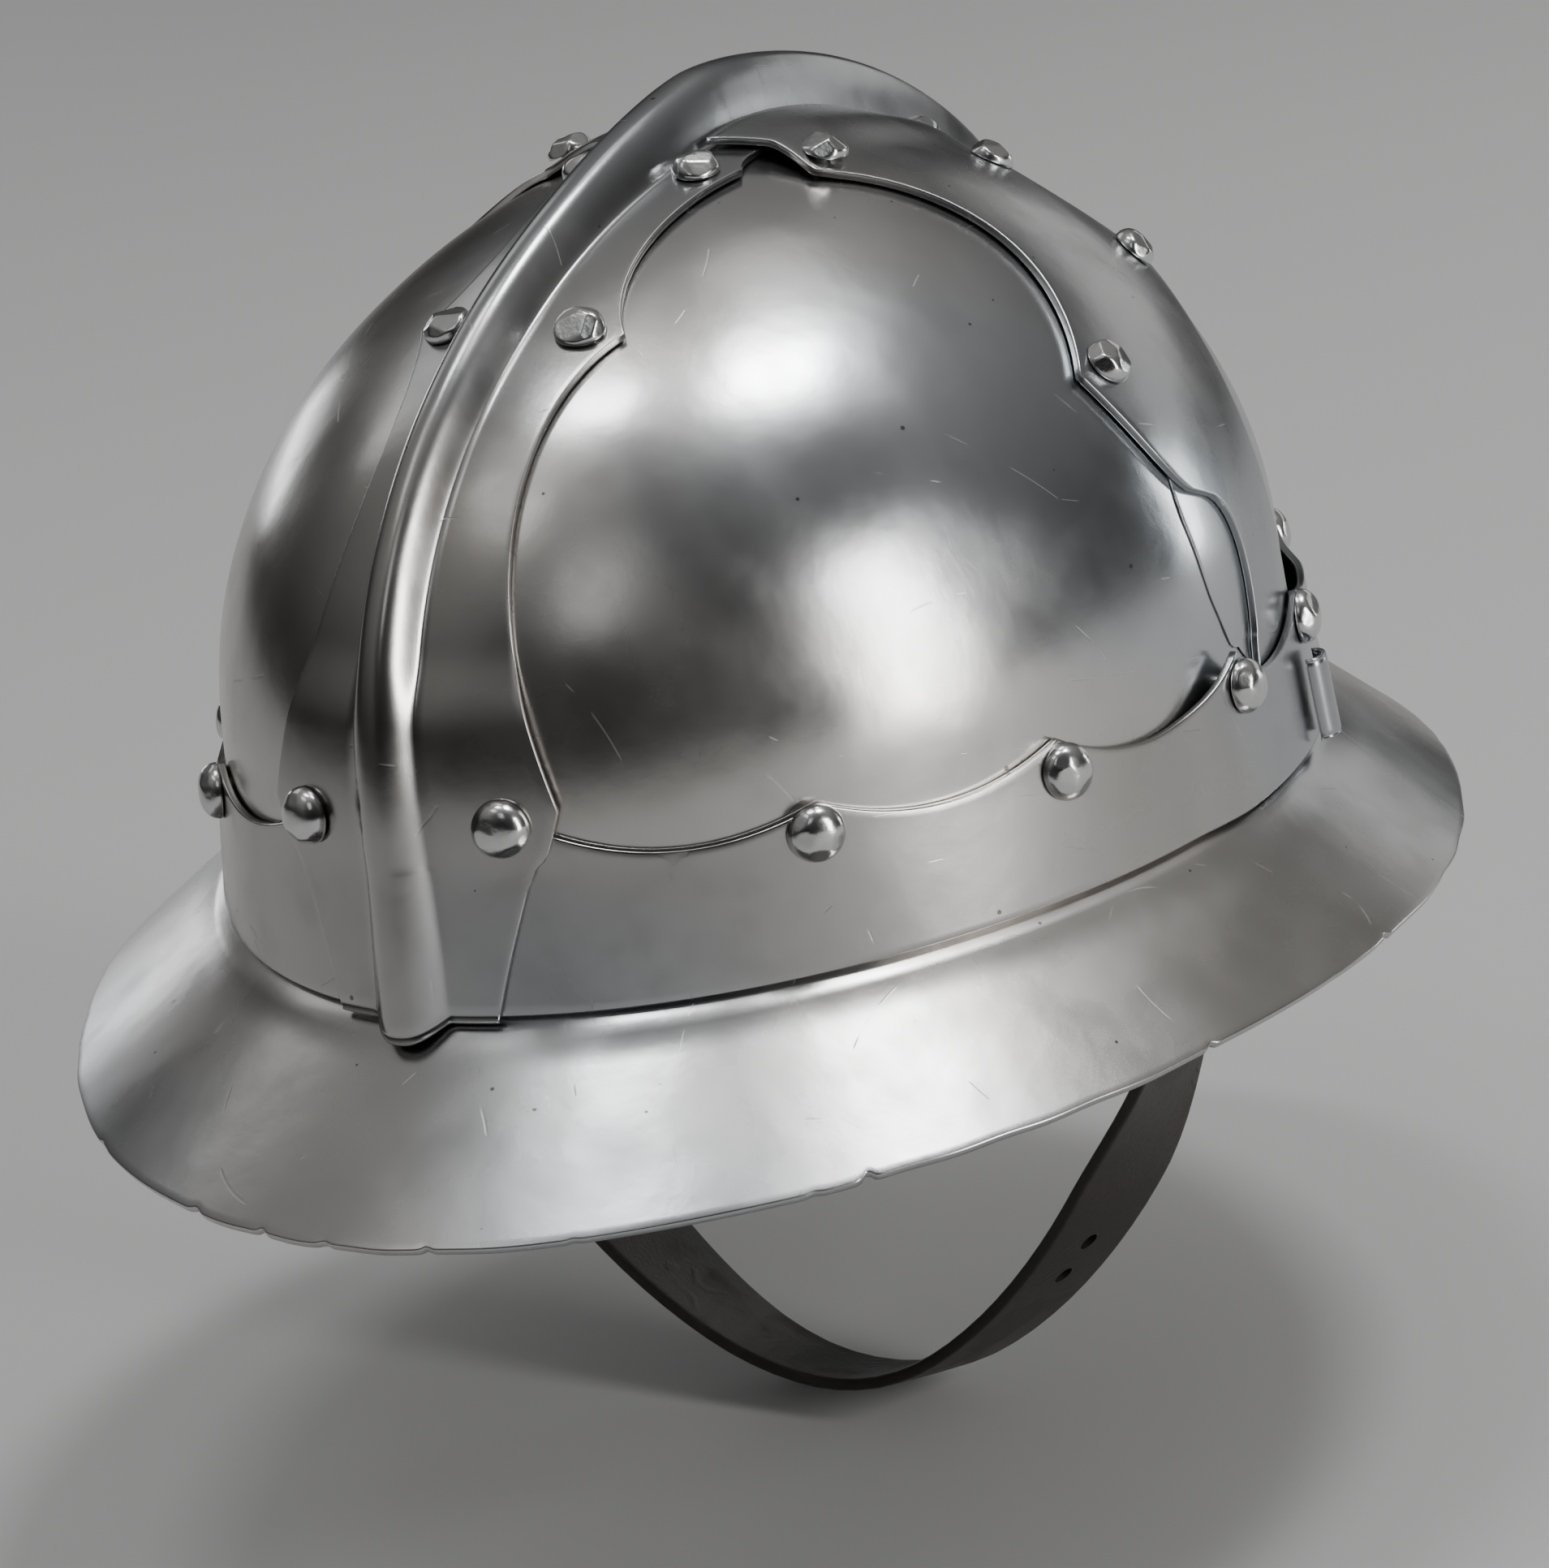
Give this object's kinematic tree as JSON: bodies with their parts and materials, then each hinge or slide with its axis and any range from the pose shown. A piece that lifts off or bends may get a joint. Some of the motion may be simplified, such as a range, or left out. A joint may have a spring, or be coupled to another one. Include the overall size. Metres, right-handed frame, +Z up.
{
  "type": "kettle hat",
  "caption": "Riveted steel kettle hat: domed bowl of plates under crossing bands with a raised comb, scalloped brow band, wide sloping brim and a leather chin strap.",
  "frame": {"origin": "middle of the head opening, 3.5 mm above the root of the brim, where the hat sits on a head", "axes": "+Z up through the crown, +Y to the wearer's rear along the comb, +X to the wearer's left"},
  "size_m": [0.2682, 0.3315, 0.2826],
  "materials": {
    "steel": "polished steel sheet with fine scratches and smudges",
    "rivet_steel": "hammered polished steel",
    "leather": "dark brown-black worn leather",
    "buckle_steel": "plain dull steel"
  },
  "bodies": {
    "root": {"bowl_plate_rear_right": "steel", "bowl_plate_rear_left": "steel", "bowl_plate_front_right": "steel", "bowl_plate_front_left": "steel", "brim": "steel", "brow_band": "steel", "brow_seam_rib": "steel", "comb_band": "steel", "cross_band_right": "steel", "cross_band_left": "steel", "rivet_brow_rear_right": "rivet_steel", "rivet_brow_rear_side_right": "rivet_steel", "rivet_brow_side_rear_right": "rivet_steel", "rivet_brow_side_front_right": "rivet_steel", "rivet_brow_front_right": "rivet_steel", "rivet_brow_rear_left": "rivet_steel", "rivet_brow_rear_side_left": "rivet_steel", "rivet_brow_side_rear_left": "rivet_steel", "rivet_brow_side_front_left": "rivet_steel", "rivet_brow_front_left": "rivet_steel", "rivet_comb_rear_low_right": "rivet_steel", "rivet_comb_rear_middle_right": "rivet_steel", "rivet_comb_rear_high_right": "rivet_steel", "rivet_comb_front_high_right": "rivet_steel", "rivet_comb_front_middle_right": "rivet_steel", "rivet_comb_front_low_right": "rivet_steel", "rivet_comb_rear_low_left": "rivet_steel", "rivet_comb_rear_middle_left": "rivet_steel", "rivet_comb_rear_high_left": "rivet_steel", "rivet_comb_front_high_left": "rivet_steel", "rivet_comb_front_middle_left": "rivet_steel", "rivet_comb_front_low_left": "rivet_steel", "rivet_cross_rear_high_right": "rivet_steel", "rivet_cross_rear_low_right": "rivet_steel", "rivet_cross_front_high_right": "rivet_steel", "rivet_cross_front_low_right": "rivet_steel", "rivet_cross_rear_high_left": "rivet_steel", "rivet_cross_rear_low_left": "rivet_steel", "rivet_cross_front_high_left": "rivet_steel", "rivet_cross_front_low_left": "rivet_steel", "chin_strap": "leather", "buckle_strap": "leather", "buckle": "buckle_steel"}
  },
  "joints": []
}
